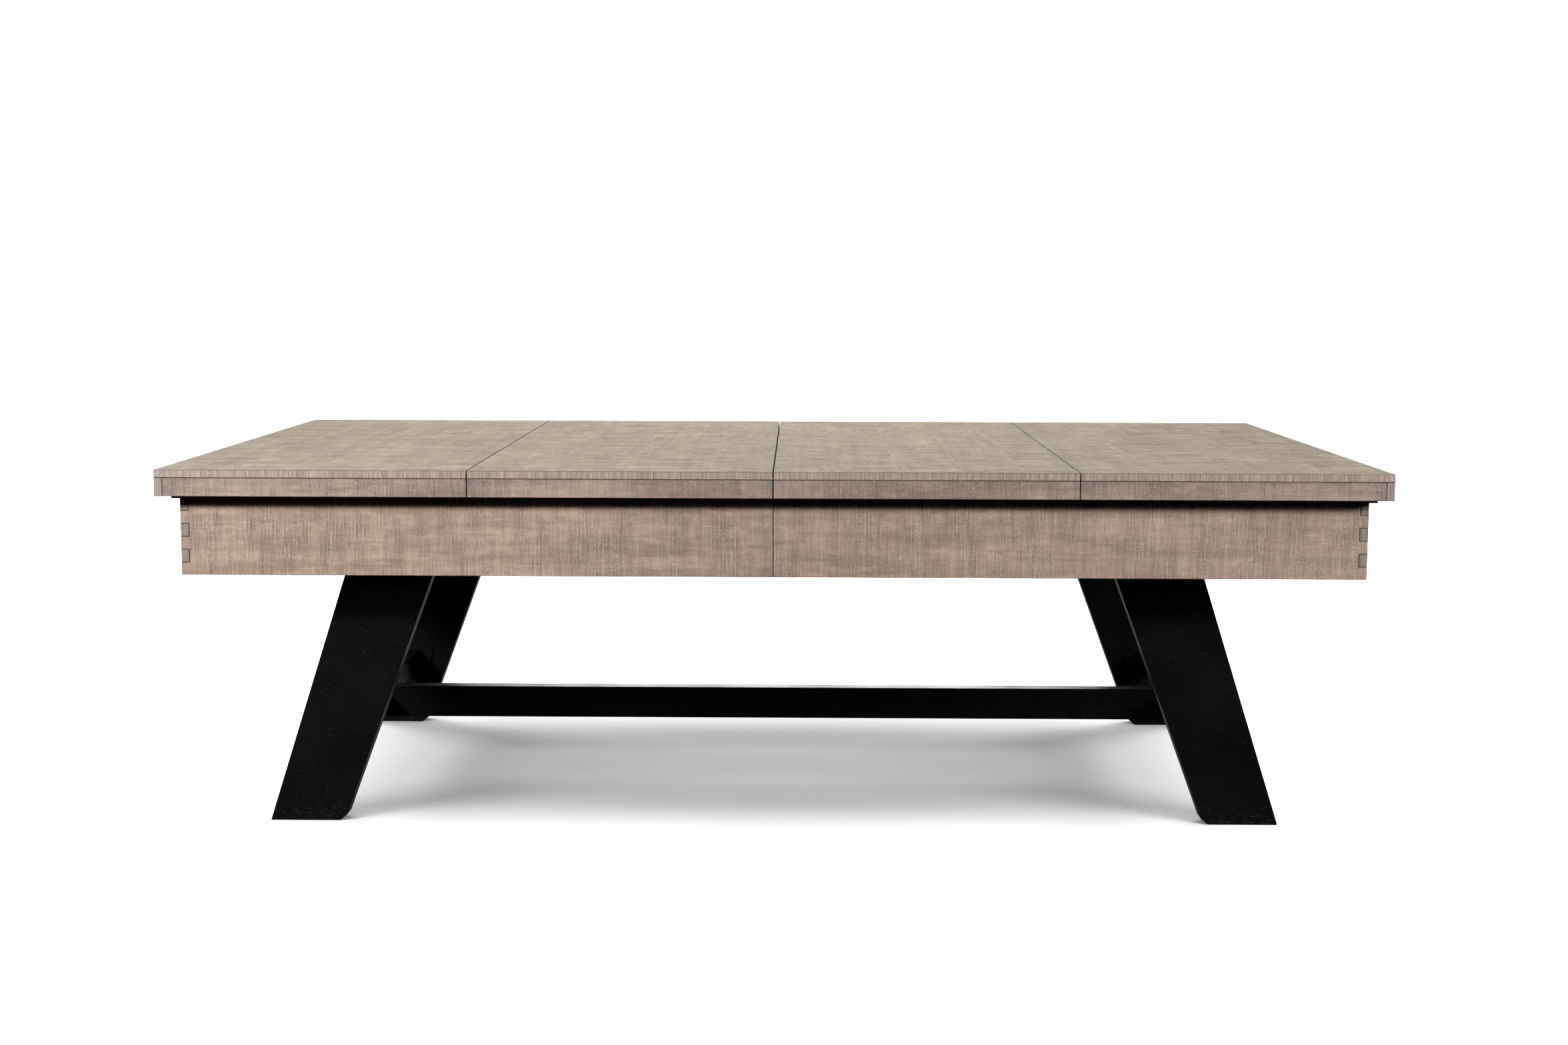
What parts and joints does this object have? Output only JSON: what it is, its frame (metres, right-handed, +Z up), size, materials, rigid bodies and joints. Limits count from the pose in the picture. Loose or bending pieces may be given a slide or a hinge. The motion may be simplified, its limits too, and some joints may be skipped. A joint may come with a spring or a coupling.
{
  "type": "pool table",
  "caption": "Slate-bed pool table with box-jointed wooden cabinet, leaning black steel legs with a low stretcher, and a wooden dining top in lift-off sections that covers the bed.",
  "frame": {"origin": "on the floor under the middle of the table", "axes": "+X along the length towards the right-hand end, +Y towards the rear, +Z up"},
  "size_m": [2.624, 1.506, 0.812],
  "materials": {
    "top_wood": "rough-sawn, weathered grey-brown, matt",
    "apron_wood": "rough-sawn, weathered brown, matt",
    "rail_wood": "sanded, weathered brown, matt",
    "batten_wood": "planed softwood",
    "frame_timber": "sawn softwood",
    "felt": "black felt",
    "fasteners": "black oxide",
    "slate": "honed slate",
    "cloth": "napless worsted cloth",
    "cushion_cloth": "worsted cloth over gum rubber",
    "sight_inlay": "brushed",
    "pocket_rubber": "moulded black rubber",
    "black_steel": "black satin powder coat"
  },
  "bodies": {
    "table": {"apron_end_left": "apron_wood", "apron_end_right": "apron_wood", "apron_front_left": "apron_wood", "apron_front_right": "apron_wood", "apron_rear_left": "apron_wood", "apron_rear_right": "apron_wood", "base_bolts": "fasteners", "bed_cloth": "cloth", "corner_blocks": "frame_timber", "cross_beams": "frame_timber", "cross_member_left": "black_steel", "cross_member_right": "black_steel", "cushion_end_left": "cushion_cloth", "cushion_end_right": "cushion_cloth", "cushion_front_left": "cushion_cloth", "cushion_front_right": "cushion_cloth", "cushion_rear_left": "cushion_cloth", "cushion_rear_right": "cushion_cloth", "leg_front_left": "black_steel", "leg_front_right": "black_steel", "leg_rear_left": "black_steel", "leg_rear_right": "black_steel", "long_beams": "frame_timber", "pocket_front_left": "pocket_rubber", "pocket_front_middle": "pocket_rubber", "pocket_front_right": "pocket_rubber", "pocket_rear_left": "pocket_rubber", "pocket_rear_middle": "pocket_rubber", "pocket_rear_right": "pocket_rubber", "rail_bolts": "fasteners", "rail_end_left": "rail_wood", "rail_end_right": "rail_wood", "rail_front_left": "rail_wood", "rail_front_right": "rail_wood", "rail_rear_left": "rail_wood", "rail_rear_right": "rail_wood", "rail_sights": "sight_inlay", "slate_centre": "slate", "slate_left": "slate", "slate_right": "slate", "slate_screws": "fasteners", "stretcher": "black_steel"},
    "dining_section_1": {"section_1_battens": "batten_wood", "section_1_board": "top_wood", "section_1_end_skirt": "top_wood", "section_1_felts": "felt", "section_1_side_skirts": "top_wood"},
    "dining_section_2": {"section_2_battens": "batten_wood", "section_2_board": "top_wood", "section_2_felts": "felt", "section_2_side_skirts": "top_wood"},
    "dining_section_3": {"section_3_battens": "batten_wood", "section_3_board": "top_wood", "section_3_felts": "felt", "section_3_side_skirts": "top_wood"},
    "dining_section_4": {"section_4_battens": "batten_wood", "section_4_board": "top_wood", "section_4_end_skirt": "top_wood", "section_4_felts": "felt", "section_4_side_skirts": "top_wood"}
  },
  "joints": [
    {"name": "section_1_lift", "type": "slide", "parent": "table", "child": "dining_section_1", "axis": [0, 0, 1], "range_m": [0, 0.25]},
    {"name": "section_2_lift", "type": "slide", "parent": "table", "child": "dining_section_2", "axis": [0, 0, 1], "range_m": [0, 0.25]},
    {"name": "section_3_lift", "type": "slide", "parent": "table", "child": "dining_section_3", "axis": [0, 0, 1], "range_m": [0, 0.25]},
    {"name": "section_4_lift", "type": "slide", "parent": "table", "child": "dining_section_4", "axis": [0, 0, 1], "range_m": [0, 0.25]}
  ]
}
